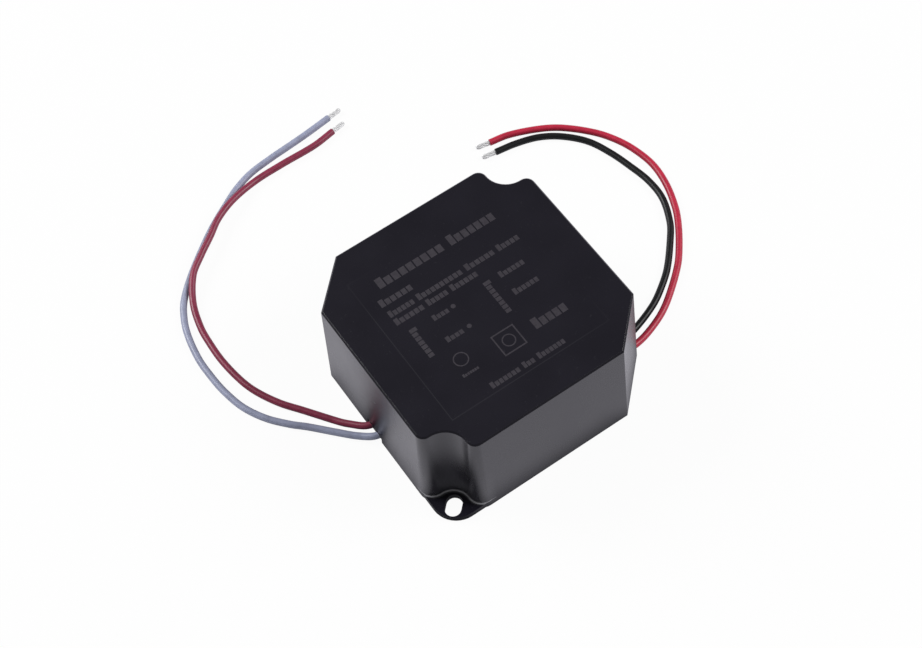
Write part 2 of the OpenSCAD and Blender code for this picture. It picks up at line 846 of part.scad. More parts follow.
module transformer_tape() {
    color([0.90, 0.75, 0.20]) at_transformer(core_mid) difference() {
        block([bobbin_l - 2 * flange_t, tape_y, tape_z]);
        block([bobbin_l, tape_y - 2 * tape_t, tape_z - 2 * tape_t]);
    }
}

module transformer_space() {
    at_transformer(core_mid) {
        block([core_l, core_w, core_t]);
        block([bobbin_l, flange_y, flange_z]);
    }
    at_transformer(top_z) translate([-rail_reach, -flange_y / 2, 0]) cube([2 * rail_reach, flange_y, rail_h]);
}

// Leads: a round tube swept along a route
lead_sides = 8;
function unit(v) = v / norm(v);
function heading(path, i) = unit(path[min(i + 1, len(path) - 1)] - path[max(i - 1, 0)]);
function lead_ring(p, t, d) = let (side = unit(cross([0, 0, 1], t)), up = cross(t, side)) [
    for (k = [0:lead_sides - 1]) let (a = (k + 0.5) * 360 / lead_sides)
        p + d / 2 * (cos(a) * side + sin(a) * up)
];

module lead(path) {
    n = lead_sides;
    m = len(path);
    points = [for (i = [0:m - 1]) each lead_ring(path[i], heading(path, i), lead_d)];
    sides = [
        for (i = [0:m - 2], k = [0:n - 1])
            let (j = (k + 1) % n) [i * n + k, i * n + j, i * n + n + j, i * n + n + k]
    ];
    polyhedron(points, concat(
        [[for (k = [n - 1:-1:0]) k]], sides, [[for (k = [0:n - 1]) (m - 1) * n + k]]
    ));
}

// The bare tinned end, in line with the lead's last stretch
module tip(path) {
    end = path[len(path) - 1];
    t = heading(path, len(path) - 1);
    translate(end) rotate([0, 90, atan2(t.y, t.x)]) cylinder(d = tip_d, h = tip_l, $fn = 24);
}

module brown_lead() {
    color([0.45, 0.14, 0.20]) lead(BROWN_ROUTE);
}

module brown_tip() {
    color([0.80, 0.80, 0.80]) tip(BROWN_ROUTE);
}

module blue_lead() {
    color([0.55, 0.56, 0.68]) lead(BLUE_ROUTE);
}

module blue_tip() {
    color([0.80, 0.80, 0.80]) tip(BLUE_ROUTE);
}

module red_lead() {
    color([0.72, 0.10, 0.24]) lead(RED_ROUTE);
}

module red_tip() {
    color([0.80, 0.80, 0.80]) tip(RED_ROUTE);
}

module black_lead() {
    color([0.06, 0.07, 0.08]) lead(BLACK_ROUTE);
}

module black_tip() {
    color([0.80, 0.80, 0.80]) tip(BLACK_ROUTE);
}

// X runs through the two slots
module on_slot_line() {
    rotate([0, 0, -45]) children();
}

on_slot_line() {
    housing();
    potting();
    circuit_board();
    solder_joints();
    lead_ends();
    fuse();
    varistor();
    x_capacitor();
    choke_core();
    choke_windings();
    bridge_rectifier();
    bulk_capacitor();
    snubber_resistor();
    snubber_diode();
    snubber_capacitor();
    controller_chip();
    transformer_core();
    transformer_bobbin();
    transformer_windings();
    transformer_tape();
    optocoupler();
    y_capacitor();
    output_rectifier();
    output_capacitors();
    output_choke_core();
    output_choke_winding();
    shunt_regulator();
    small_resistors();
    brown_lead();
    brown_tip();
    blue_lead();
    blue_tip();
    red_lead();
    red_tip();
    black_lead();
    black_tip();
}
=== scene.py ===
# %% [markdown]
# # A potted power supply
#
# This lesson dresses a small waterproof power supply: a square black case as wide as a playing
# card, two thin ears to screw it down by, and four leads with bare ends. The solids come ready
# made from the CAD model, in metres, and never move. What is left for Blender is everything that
# makes plastic look like plastic: the finishes, the soft leads, the twisted copper at their ends,
# the print on the top and the way the potting creeps up the walls underneath.

# %% Load the solids
from math import pi, radians

import bmesh
import bpy
from mathutils import Matrix, Quaternion, Vector


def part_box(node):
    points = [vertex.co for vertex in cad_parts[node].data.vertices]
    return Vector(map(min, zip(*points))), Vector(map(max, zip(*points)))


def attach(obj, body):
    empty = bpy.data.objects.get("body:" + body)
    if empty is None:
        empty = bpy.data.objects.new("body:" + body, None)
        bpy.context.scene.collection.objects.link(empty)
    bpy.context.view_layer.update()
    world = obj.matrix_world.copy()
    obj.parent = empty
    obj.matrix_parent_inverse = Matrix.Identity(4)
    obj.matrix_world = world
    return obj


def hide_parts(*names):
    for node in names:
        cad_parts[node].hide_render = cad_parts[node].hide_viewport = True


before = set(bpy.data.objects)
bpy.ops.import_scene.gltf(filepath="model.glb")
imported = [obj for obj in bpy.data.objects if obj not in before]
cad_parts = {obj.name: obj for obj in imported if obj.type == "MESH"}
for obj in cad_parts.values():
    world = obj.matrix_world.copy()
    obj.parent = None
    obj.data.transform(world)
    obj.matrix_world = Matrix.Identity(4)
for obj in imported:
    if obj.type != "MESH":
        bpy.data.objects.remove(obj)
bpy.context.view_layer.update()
print("solids:", len(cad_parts))

# %% [markdown]
# ## Two ways of looking at a square
#
# The part's own X axis runs through its two screw slots, so it crosses the case from corner to
# corner. Anything printed or moulded parallel to the walls is easier to place along the walls.
# One small turn of 45 degrees links the two. The part is noted in millimetres throughout, and the
# camera, the floor and the lamps in metres.

# %% From the walls' directions to the part's own
MM = 0.001
ALONG_WALLS = Matrix.Rotation(radians(-45), 4, "Z")
WALL_X = ALONG_WALLS @ Vector((1, 0, 0))
WALL_Y = ALONG_WALLS @ Vector((0, 1, 0))
THROUGH_SLOTS = Vector((1, 0, 0))
ACROSS_SLOTS = Vector((0, 1, 0))
UP = Vector((0, 0, 1))


def spot(x, y, z):
    """A point given along the walls, in millimetres, as the part's own frame has it in metres."""
    return ALONG_WALLS @ (Vector((x, y, z)) * MM)


def low(node):
    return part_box(node)[0].z / MM


def high(node):
    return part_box(node)[1].z / MM


def middle(node):
    bottom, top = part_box(node)
    return (Vector(bottom) + Vector(top)) / 2


print("height of the case:", round(high("housing"), 2), "mm")

# %% [markdown]
# ## The camera
#
# The view looks down on the case at about sixty degrees with a long lens, and is tipped a little.
# A camera is easiest to understand as a place, a point that it looks at, and a roll about its own
# line of sight. A picture 922 pixels wide with a focal length of 1770 pixels is the same as a
# 36 mm sensor behind a 69 mm lens.

# %% Camera
PICTURE_WIDTH = 922
FOCAL_PIXELS = 1770
SENSOR = 36

camera = bpy.data.objects.new("camera", bpy.data.cameras.new("camera"))
bpy.context.scene.collection.objects.link(camera)
bpy.context.scene.camera = camera
camera.data.sensor_fit = "HORIZONTAL"
camera.data.sensor_width = SENSOR
camera.data.lens = SENSOR * FOCAL_PIXELS / PICTURE_WIDTH
camera.data.clip_start = 0.01
camera.data.clip_end = 100

stand = Vector((-0.20446, -0.05791, 0.38134))
aim = Vector((0.01073, 0.00769, 0))
roll = radians(-7.353)
camera.rotation_mode = "QUATERNION"
camera.location = stand
camera.rotation_quaternion = (aim - stand).to_track_quat("-Z", "Y") @ Quaternion((0, 0, 1), roll)
print("lens:", round(camera.data.lens, 1), "mm, distance:", round((aim - stand).length, 3), "m")

# %% [markdown]
# ## Shader sums written as sums
#
# A node tree is hard to read in code, because each addition is a node, two links and a name.
# So a socket is wrapped in a small class whose operators add the Math nodes: `1 - mask` or
# `a * b + 0.2` then works on shader values as it does on numbers. Masks are values of 0 or 1, so
# `|` joins two of them by taking the larger. A second class holds a node tree, and its one method
# `node` adds any other node from its type, its inputs and its settings. A third is a material.

# %% Wrap a socket
class Wire:
    """An output socket that can stand in a Python sum."""

    def __init__(self, nodes, socket):
        self.nodes = nodes
        self.socket = socket

    def math(self, operation, *others):
        inputs = dict(enumerate((self, *others)))
        return self.nodes.node("ShaderNodeMath", inputs, operation=operation)

    def __add__(self, other):
        return self.math("ADD", other)

    def __sub__(self, other):
        return self.math("SUBTRACT", other)

    def __rsub__(self, other):
        return self * -1 + other

    def __mul__(self, other):
        return self.math("MULTIPLY", other)

    def __gt__(self, other):
        return self.math("GREATER_THAN", other)

    def __lt__(self, other):
        return self.math("LESS_THAN", other)

    def __or__(self, other):
        return self.math("MAXIMUM", other)

    def __abs__(self):
        return self.math("ABSOLUTE")

    __radd__ = __add__
    __rmul__ = __mul__


# %% Wrap a node tree
class Nodes:
    """A node tree of a material or a world."""

    def __init__(self, tree):
        self.tree = tree

    def join(self, value, socket):
        if isinstance(value, Wire):
            self.tree.links.new(value.socket, socket)
        else:
            socket.default_value = value

    def node(self, kind, inputs, output=0, stops=(), **settings):
        made = self.tree.nodes.new(kind)
        for name, value in settings.items():
            setattr(made.color_ramp if stops else made, name, value)
        for number, (position, tint) in enumerate(stops):
            ramp = made.color_ramp.elements
            stop = ramp[number] if number < len(ramp) else ramp.new(position)
            stop.position = position
            stop.color = tint
        for name, value in inputs.items():
            self.join(value, made.inputs[name])
        return Wire(self, made.outputs[output])

    def ray(self, kind):
        """1 where the light path is of that kind, such as Camera or Glossy, and 0 elsewhere."""
        return self.node("ShaderNodeLightPath", {}, output=f"Is {kind} Ray")


# %% Wrap a material
class Paint(Nodes):
    """A material with one Principled shader."""

    def __init__(self, name):
        self.material = bpy.data.materials.new(name)
        self.material.use_nodes = True
        super().__init__(self.material.node_tree)
        self.shader = self.tree.nodes["Principled BSDF"]
        self.place = self.node("ShaderNodeTexCoord", {}, output="Object")

    def set(self, **sockets):
        for name, value in sockets.items():
            self.join(value, self.shader.inputs[name.replace("_", " ")])

    def noise(self, size, detail=3, roughness=0.5):
        """Noise from 0 to 1 whose patches are about that many millimetres across."""
        inputs = {"Vector": self.place, "Scale": 1 / (size * MM)}
        return self.node("ShaderNodeTexNoise", inputs | {"Detail": detail, "Roughness": roughness})

    def along(self, direction, start=(0, 0, 0)):
        """Millimetres from a starting point, measured along a direction."""
        ends = {0: self.place, 1: Vector(start)}
        away = self.node("ShaderNodeVectorMath", ends, operation="SUBTRACT")
        ruler = {0: away, 1: Vector(direction) / MM}
        return self.node("ShaderNodeVectorMath", ruler, output="Value", operation="DOT_PRODUCT")

    def ridges(self, run, pitch):
        """A wave from 0 to 1 along a run of millimetres."""
        return (run * (2 * pi / pitch)).math("SINE") * 0.5 + 0.5

    def between(self, value, start, end, out_start=0.0, out_end=1.0):
        """Stretches one range of values over another, and holds the ends."""
        inputs = {"Value": value, "From Min": start, "From Max": end}
        inputs |= {"To Min": out_start, "To Max": out_end}
        return self.node("ShaderNodeMapRange", inputs, clamp=True)

    def mix(self, share, a, b):
        """Colour a turning into colour b. A Mix node's colours are sockets 6, 7 and output 2."""
        return self.node("ShaderNodeMix", {0: share, 6: a, 7: b}, output=2, data_type="RGBA")

    def bump(self, height, depth):
        """A Normal from a height of 0 to 1 that stands for that many millimetres."""
        return self.node("ShaderNodeBump", {"Height": height, "Distance": depth * MM})


# %% [markdown]
# Colours are noted the way a picture shows them, from 0 to 255, because that is how they are
# compared. Shaders count light instead, so each is converted once.

# %% Colours as a picture shows them
def colour(red, green, blue):
    shares = [v / 255 for v in (red, green, blue)]
    return (*[v / 12.92 if v <= 0.04045 else ((v + 0.055) / 1.055) ** 2.4 for v in shares], 1)


def scaled(tint, share):
    """The same colour, lighter or darker."""
    return (*[min(1, v * share) for v in tint[:3]], 1)


print("a grey of 128 is", round(colour(128, 128, 128)[0], 3), "of white's light")


# %% [markdown]
# ## The case's plastic
#
# The case is moulded in black plastic with a satin skin. A flat black would look like a hole, so
# three things vary over it. Its roughness drifts slowly, as handled plastic's does. A fine grain,
# a hundredth of a millimetre deep, breaks up what it mirrors. A little dust lies in patches. The
# case also has painted light in the dust's pale colour: a painted highlight in the crease above
# each ear, painted light thinly up each notch, and a painted highlight along the near rim of the
# sunken panel. All of it is read in Object coordinates, so it runs through the solid like the
# grain of wood and needs no unwrapping.

# %% Where light is painted on the case
PATCH_DUST = 0.04
NOTCH_PAINTED_LIGHT = 0.09
RIM_PAINTED_HIGHLIGHT = 0.032
PANEL_HALVES = (21.75, 22)
# Each pair says where a mask is still 0, and where it has become 1, in millimetres.
NOTCH_SIDES, NOTCH_BACK = (9.8, 8.4), (34.2, 34.8)
EAR_FROM, CREASE_TO, NOTCH_LIGHT_ENDS = (1.98, 2.1), (2.44, 2.32), (16, 2)
RIM_WIDTH, RIM_FROM, RIM_HIGHLIGHT_TO = (0.17, 0.08), (29.7, 29.8), (6, -10)


def case_painted_light(paint):
    """Painted highlights in the crease above each ear and along the panel's near rim, and painted
    light thinly up each notch.
    """
    height = paint.along(UP)
    outward = paint.along(THROUGH_SLOTS)
    aside = abs(paint.along(ACROSS_SLOTS))
    notch = paint.between(aside, *NOTCH_SIDES) * paint.between(abs(outward), *NOTCH_BACK)
    above_ear = paint.between(height, *EAR_FROM)
    # Painted highlight: a thin pale line in the crease where each ear meets the wall.
    crease_highlight = above_ear * paint.between(height, *CREASE_TO)
    # Painted light: the shaded foot of each notch is lightened, fading out upwards.
    film = above_ear * paint.between(height, *NOTCH_LIGHT_ENDS) * NOTCH_PAINTED_LIGHT
    past_x = abs(paint.along(WALL_X)) - PANEL_HALVES[0]
    past_y = abs(paint.along(WALL_Y)) - PANEL_HALVES[1]
    # Painted highlight: a pale hairline along the rim of the sunken panel, on its near side only.
    rim = paint.between(abs(past_x | past_y), *RIM_WIDTH) * paint.between(height, *RIM_FROM)
    return notch * (crease_highlight | film) | rim * paint.between(outward, *RIM_HIGHLIGHT_TO) * RIM_PAINTED_HIGHLIGHT


# %% Moulded plastic
def moulded(name, tint, shine, painted_light):
    """Satin plastic with patches of dust; the last argument gives, from the paint, where light is
    painted in the dust's colour.
    """
    paint = Paint(name)
    drift = paint.noise(14, detail=4)
    dust = paint.between(paint.noise(0.9, detail=5, roughness=0.7), 0.62, 0.8)
    body = paint.mix(paint.between(drift, 0.3, 0.7), scaled(tint, 0.9), scaled(tint, 1.1))
    # Real dust in patches, and the painted highlights and painted light of the case, take the same
    # pale colour.
    dust_and_painted_light = dust * PATCH_DUST | painted_light(paint)
    paint.set(Base_Color=paint.mix(dust_and_painted_light, body, colour(150, 150, 155)))
    paint.set(Roughness=paint.between(drift, 0.25, 0.75, shine - 0.03, shine + 0.04) + dust * 0.06)
    paint.set(Normal=paint.bump(paint.noise(0.35, detail=2), 0.01))
    return paint


case_plastic = moulded("case_plastic", colour(19, 17, 27), shine=0.26, painted_light=case_painted_light)
print("made", case_plastic.material.name)

# %% [markdown]
# ## Potting
#
# The compound is poured in from below and cures to a hard black gloss. It levels itself, so its
# surface is smooth but never flat: broad shallow waves, and here and there a tiny pit where a
# bubble burst. Voronoi cells give the pits, because each cell holds exactly one point.

# %% Potting compound
PIT_SPACING = 5


def potted(name, tint):
    paint = Paint(name)
    wave = paint.noise(16, detail=1)
    grid = {"Vector": paint.place, "Scale": 1 / (PIT_SPACING * MM)}
    cells = paint.node("ShaderNodeTexVoronoi", grid, output="Distance")
    pit = 1 - paint.between(cells, 0.03, 0.07)
    paint.set(Base_Color=paint.mix(paint.noise(6), scaled(tint, 0.8), scaled(tint, 1.3)))
    paint.set(Roughness=paint.between(paint.noise(3), 0.3, 0.7, 0.14, 0.26) + pit * 0.3)
    paint.set(Normal=paint.bump(wave - pit * 0.4, 0.5))
    return paint


potting_compound = potted("potting_compound", colour(22, 22, 24))
print("made", potting_compound.material.name)

# %% [markdown]
# ## Insulation
#
# The leads are soft PVC: coloured right through, a little waxy, with a faint mottle from the
# extruder and tiny scuffs. PVC glows slightly at its edges where light passes through the skin,
# which a weak sheen gives.

# %% Lead insulation
def insulation(name, tint):
    paint = Paint(name)
    mottle = paint.noise(2.5, detail=4, roughness=0.6)
    scuff = paint.between(paint.noise(0.5, detail=6, roughness=0.75), 0.6, 0.75)
    body = paint.mix(paint.between(mottle, 0.3, 0.7), scaled(tint, 0.85), scaled(tint, 1.12))
    paint.set(Base_Color=paint.mix(scuff * 0.1, body, scaled(tint, 1.8)))
    paint.set(Roughness=paint.between(mottle, 0.3, 0.7, 0.35, 0.48) + scuff * 0.15)
    paint.set(Normal=paint.bump(paint.noise(1.2, detail=2), 0.02))
    paint.set(Sheen_Weight=0.1, Sheen_Roughness=0.5)
    return paint


brown_insulation = insulation("brown_insulation", colour(134, 37, 67))
blue_insulation = insulation("blue_insulation", colour(152, 157, 182))
red_insulation = insulation("red_insulation", colour(182, 25, 58))
black_insulation = insulation("black_insulation", colour(9, 10, 13))
black_insulation.set(Specular_IOR_Level=0.3)
print("made four colours of insulation")

# %% [markdown]
# ## Bare metal
#
# Tinned copper, solder and wire are metals: their colour is the colour of what they reflect, so
# the base colour only tints it. Uneven dipping shows as patches of different roughness. A dipped
# end is duller than clean metal, because its skin has oxidised, and a metallic share below one
# stands for that skin.

# %% Metals
def metal(name, tint, shine, bare=1.0):
    """Unevenly dipped or drawn metal; bare is the share that no skin covers."""
    paint = Paint(name)
    patches = paint.noise(0.6, detail=3)
    paint.set(Metallic=bare)
    paint.set(Base_Color=paint.mix(patches, scaled(tint, 0.85), scaled(tint, 1.1)))
    paint.set(Roughness=paint.between(patches, 0.3, 0.7, shine - 0.06, shine + 0.12))
    paint.set(Normal=paint.bump(patches, 0.02))
    return paint


tinned_strands = metal("tinned_strands", colour(226, 226, 227), shine=0.45, bare=0.35)
solder = metal("solder", colour(205, 205, 208), shine=0.2)
bare_copper = metal("bare_copper", colour(220, 176, 140), shine=0.3)
print("made three metals")

# %% [markdown]
# ## The leads
#
# Each lead is one smooth curve with a round bevel. Its points are the ones that the CAD model's
# tubes follow, in millimetres along the walls, so curve and solid lie in the same place. The
# handles aim from one neighbour to the next, a third of the way along, and never dip below the
# height at which a lead rests on the ground. The brown lead climbs over the blue one in a long
# low hump.

# %% The routes
LEAD = 1.8
WALL_FACE = 32
INNER_END = 25.2
WINDOW_HEIGHT = 2.1
ROUTES = {
    "brown": (-1, 1.7, [
        (-36, 5.5, 1.3), (-38.5, 9, 0.9), (-43, 15.5, 0.9), (-46.5, 20.5, 0.9), (-49.5, 26.5, 0.9),
        (-51, 31.5, 0.9), (-52, 39, 0.9), (-52, 45.5, 0.9), (-51.5, 51, 1), (-49.5, 58, 1.5),
        (-45.5, 64.5, 2.6), (-41, 68.3, 2.8), (-36, 72, 2.8), (-31.5, 75.5, 2.8),
        (-25.5, 78.5, 2.4), (-17.5, 81, 1.1), (-9, 81.5, 0.9), (1.5, 81.5, 0.9), (8, 82.5, 0.9),
    ]),
    "blue": (-1, -1.7, [
        (-35.5, 1, 1.3), (-40, 6, 0.9), (-44.5, 11, 0.9), (-47.5, 14, 0.9), (-51.5, 19, 0.9),
        (-54.5, 25, 0.9), (-56, 31.5, 0.9), (-56.5, 37, 0.9), (-56.5, 43.5, 0.9), (-55, 52, 0.9),
        (-52.5, 58, 0.9), (-50, 61.5, 0.9), (-45.5, 66, 0.9), (-39.5, 71, 0.9), (-33.5, 75.5, 0.9),
        (-27, 79.5, 0.9), (-22.5, 82, 0.9), (-17, 84, 0.9), (-10, 85, 0.9), (-4, 85.5, 0.9),
        (1.5, 86, 0.9), (9.5, 87, 0.9),
    ]),
    "red": (1, -18.5, [
        (36.5, -17.5, 1.3), (43, -15, 0.9), (48, -12, 0.9), (55.5, -6, 0.9), (59.5, -1.5, 0.9),
        (63.5, 4, 0.9), (66, 8.5, 0.9), (68.5, 15.5, 0.9), (69.5, 22.5, 0.9), (68.5, 29.5, 0.9),
        (66.5, 35, 0.9), (63.5, 40, 0.9), (58, 46, 0.9), (53, 49.5, 0.9), (45, 53, 0.9),
        (39.5, 54, 0.9),
    ]),
    "black": (1, -15.1, [
        (35.5, -14.5, 1.3), (43.5, -11.5, 0.9), (48.5, -8.5, 0.9), (53, -5, 0.9), (59, 1.5, 0.9),
        (62, 5.5, 0.9), (65, 12.5, 0.9), (65.5, 19, 0.9), (64.5, 25.5, 0.9), (63, 32, 0.9),
        (60.5, 38.5, 0.9), (56, 44, 0.9), (51, 47.5, 0.9), (45, 49.5, 0.9), (39, 50.5, 0.9),
    ]),
}


def whole_route(side, y, laid):
    """The straight start inside the window, and then the stretch that lies on the ground."""
    start = [(side * INNER_END, y, WINDOW_HEIGHT), (side * WALL_FACE, y, WINDOW_HEIGHT)]
    return [spot(*point) for point in start + laid]


print("points:", {name: len(whole_route(*route)) for name, route in ROUTES.items()})


# %% Draw the curves
def finished(piece, paint):
    """Links a new piece into the scene, and gives it its material and the body that it rides on.
    """
    bpy.context.scene.collection.objects.link(piece)
    piece.data.materials.append(paint.material)
    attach(piece, "root")
    return piece


def lead_curve(name, points):
    curve = bpy.data.curves.new(name, "CURVE")
    curve.dimensions = "3D"
    curve.bevel_depth = LEAD / 2 * MM
    curve.bevel_resolution = 6
    curve.resolution_u = 10
    curve.use_fill_caps = True
    spline = curve.splines.new("BEZIER")
    spline.bezier_points.add(len(points) - 1)
    for i, (knot, point) in enumerate(zip(spline.bezier_points, points)):
        before = points[max(i - 1, 0)]
        after = points[min(i + 1, len(points) - 1)]
        heading = (after - before).normalized()
        knot.co = point
        knot.handle_left_type = knot.handle_right_type = "FREE"
        knot.handle_left = point - heading * (point - before).length / 3
        knot.handle_right = point + heading * (after - point).length / 3
        for handle in (knot.handle_left, knot.handle_right):
            handle.z = max(handle.z, LEAD / 2 * MM)
    return bpy.data.objects.new(name, curve)


PAINTS = {
    "brown": brown_insulation, "blue": blue_insulation,
    "red": red_insulation, "black": black_insulation,
}
leads = {}
for name, (side, y, laid) in ROUTES.items():
    points = whole_route(side, y, laid)
    piece = finished(lead_curve(f"{name}_wire", points), PAINTS[name])
    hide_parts(f"{name}_lead")
    length = sum((b - a).length for a, b in zip(points, points[1:]))
    leads[name] = {"piece": piece, "points": points, "length": length}
    print(name, "lead:", round(length / MM, 1), "mm")

# %% [markdown]
# ## Twisted, tinned ends
#
# Stripped wire is a bundle of fine strands, twisted between finger and thumb and dipped in
# solder. One strand is a small circle carried round and along at once, and that is exactly what
# a spin with a drift does. Six strands lie round a seventh, as they do in real wire, and the
# solder draws the far end to a blunt point.

# %% From mesh code to a piece
def piece_from(bm, name, smooth=lambda face: False):
    """Closes a bmesh into an object; smooth says which faces are shaded round."""
    mesh = bpy.data.meshes.new(name)
    bm.to_mesh(mesh)
    bm.free()
    for face in mesh.polygons:
        face.use_smooth = smooth(face)
    return bpy.data.objects.new(name, mesh)


# %% One bundle of strands
TIP = 1.3
TIP_LENGTH = 3.9
TIP_POINT = 0.7
PINCH = 0.35
STRANDS = 6
STRANDS_ACROSS = 3
STRAND_OVERLAP = 1.04
TWIST = radians(110)
STEPS = 18


def strand_bundle(name, end, heading):
    bm = bmesh.new()
    strand = TIP / STRANDS_ACROSS / 2 * MM
    for number in range(STRANDS + 1):
        off_axis = 0 if number == STRANDS else 2 * strand
        rim = bmesh.ops.create_circle(bm, segments=10, radius=strand * STRAND_OVERLAP)["verts"]
        round_the_middle = Matrix.Rotation(number * 2 * pi / STRANDS, 3, "X")
        bmesh.ops.rotate(bm, verts=rim, matrix=Matrix.Rotation(pi / 2, 3, "Y"))
        bmesh.ops.translate(bm, verts=rim, vec=(0, off_axis, 0))
        bmesh.ops.rotate(bm, verts=rim, matrix=round_the_middle)
        bmesh.ops.spin(
            bm, geom=[e for e in bm.edges if e.verts[0] in rim and e.verts[1] in rim],
            cent=(0, 0, 0), axis=(1, 0, 0), angle=TWIST, steps=STEPS,
            dvec=(TIP_LENGTH * MM / STEPS, 0, 0), use_merge=False,
        )
    bmesh.ops.holes_fill(bm, edges=[e for e in bm.edges if e.is_boundary], sides=0)
    for v in bm.verts:
        past = max(0, v.co.x / MM - (TIP_LENGTH - TIP_POINT)) / TIP_POINT
        pinch = 1 - PINCH * past * past
        v.co.y *= pinch
        v.co.z *= pinch
    bmesh.ops.recalc_face_normals(bm, faces=bm.faces)
    turn_to = heading.to_track_quat("X", "Z").to_matrix().to_4x4()
    bmesh.ops.transform(bm, verts=bm.verts, matrix=Matrix.Translation(end) @ turn_to)
    return piece_from(bm, name, smooth=lambda face: len(face.vertices) == 4)


for name, lead in leads.items():
    end = lead["points"][-1]
    heading = (end - lead["points"][-2]).normalized()
    bundle = strand_bundle(f"{name}_strands", end, heading)
    finished(bundle, tinned_strands)
    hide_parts(f"{name}_tip")
print("bundles:", len(leads))

# %% [markdown]
# ## The case as a moulding
#
# A CAD solid has knife edges, and it arrives as loose triangles. A real moulding has no true edge:
# the cutter leaves a small radius in the mould, and that radius draws the thin line of light by
# which the eye reads plastic. So a copy of the case's mesh is welded, its flat top and the roof of
# its cavity are laid again in even triangles, and flat neighbours are joined. Then every edge that
# can be seen gets a radius, a crisp one here: a wider one caught the lamps in a bright line that
# this part doesn't have. Which edges those are is asked of their place: the brim of the top, the
# upright corners, and the rims of the ears and slots. The sunken field gets a sloping rim, as a
# mould gives it draft, by drawing its corners in a little.

# %% Weld the copy and lay its flats again
EAR = 1.8
TOP = high("housing")
ROOF = 2
SUNKEN = 0.1
FIELD = TOP - SUNKEN
DRAFT = 0.985
SAME_PLACE = 0.001
SAME_PLANE = radians(0.3)


def at_height(v, height):
    return abs(v.co.z / MM - height) < SAME_PLACE


def relay(bm, height):
    """Takes out the level faces at a height and fills the same outline again, hole and all."""
    level = [f for f in bm.faces if all(at_height(v, height) for v in f.verts)]
    edges = {e for f in level for e in f.edges}
    rim = [e for e in edges if sum(f in level for f in e.link_faces) == 1]
    facing = level[0].normal.copy()
    bmesh.ops.delete(bm, geom=level, context="FACES_ONLY")
    bmesh.ops.delete(bm, geom=[e for e in bm.edges if e.is_wire], context="EDGES")
    laid = bmesh.ops.triangle_fill(bm, edges=rim, use_beauty=True, normal=facing)["geom"]
    laid_faces = [g for g in laid if isinstance(g, bmesh.types.BMFace)]
    print("level faces at", round(height, 2), "mm:", len(level), "became", len(laid_faces))


bm = bmesh.new()
bm.from_mesh(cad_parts["housing"].data)
bmesh.ops.remove_doubles(bm, verts=bm.verts, dist=SAME_PLACE * MM)
relay(bm, TOP)
relay(bm, TOP - ROOF)
field_corners = [v for v in bm.verts if at_height(v, FIELD)]
bmesh.ops.scale(bm, verts=field_corners, vec=(DRAFT, DRAFT, 1))
bmesh.ops.dissolve_limit(bm, angle_limit=SAME_PLANE, verts=bm.verts, edges=bm.edges)

# %% Which edges can be seen
BRIM = 0.6
OUTSIDE_FIELD = 23
OUTSIDE_CAVITY = 30
UPRIGHT = 20
EAR_RIM = (EAR - 0.6, EAR + 1)
EAR_BEGINS = 46
EAR_WIDTH = 24


def brim_or_upright(x, y, z, length):
    """The outline of the top, and the long corners of the outer walls."""
    out = max(abs(x), abs(y))
    brim = z > TOP - BRIM and out > OUTSIDE_FIELD
    upright = z > EAR and length > UPRIGHT and out > OUTSIDE_CAVITY
    return brim or upright


def rim_of_an_ear(x, y, z, length):
    """The edges at an ear's upper face, far out along the diagonal on which both ears lie."""
    lowest, highest = EAR_RIM
    return lowest < z < highest and abs(x + y) > EAR_BEGINS and abs(x - y) < EAR_WIDTH


# %% Round what can be seen
EDGE = 0.05
SHARP = radians(25)
SHADED_SHARP = radians(32)
TO_WALLS = Matrix.Scale(1 / MM, 4) @ ALONG_WALLS.inverted()


def rounded(bm, radius, chosen):
    """Rounds the sharp edges that are chosen by their middle, along the walls, and length."""
    edges = []
    for e in bm.edges:
        if len(e.link_faces) == 2 and e.calc_face_angle() > SHARP:
            halfway = TO_WALLS @ ((e.verts[0].co + e.verts[1].co) / 2)
            if chosen(*halfway, e.calc_length() / MM):
                edges.append(e)
    bmesh.ops.bevel(
        bm, geom=edges, offset=radius * MM, affect="EDGES", segments=3, profile=0.5, material=-1,
        clamp_overlap=True,
    )
    print("rounded", len(edges), "edges to", radius, "mm")


rounded(bm, EDGE, brim_or_upright)
rounded(bm, EDGE, rim_of_an_ear)
print("open edges:", sum(not e.is_manifold for e in bm.edges))
case = finished(piece_from(bm, "case", smooth=lambda face: True), case_plastic)
case.data.set_sharp_from_angle(angle=SHADED_SHARP)
level_normals = case.modifiers.new("level_normals", "WEIGHTED_NORMAL")
level_normals.keep_sharp = True
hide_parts("housing")
print("case faces:", len(case.data.polygons))

# %% [markdown]
# ## Where the leads leave the potting
#
# The compound wets each lead where it comes out of its window and climbs it in a small concave
# collar. A collar is a turned shape, so a few points give its section and one full spin gives the
# rest. The section sinks a little into the plug and into the lead, so that no gap shows.

# %% Collars
PLUG_FACE = 31.65
COLLAR = [(-0.3, 0.75), (-0.3, 1.25), (0, 1.25), (0.06, 1.1), (0.15, 1), (0.3, 0.93), (0.3, 0.75)]


def collar(bm, side, y):
    """Turns the section into a collar at a lead's exit; a tag marks what is already in place."""
    section = [bm.verts.new((along * MM, 0, radius * MM)) for along, radius in COLLAR]
    edges = [bm.edges.new(pair) for pair in zip(section, section[1:] + section[:1])]
    bmesh.ops.spin(
        bm, geom=edges, cent=(0, 0, 0), axis=(1, 0, 0), angle=2 * pi, steps=32, use_merge=True,
    )
    turned = [v for v in bm.verts if not v.tag]
    bmesh.ops.scale(bm, verts=turned, vec=(side, 1, 1))
    bmesh.ops.translate(bm, verts=turned, vec=(side * PLUG_FACE * MM, y * MM, WINDOW_HEIGHT * MM))
    for v in turned:
        v.tag = True


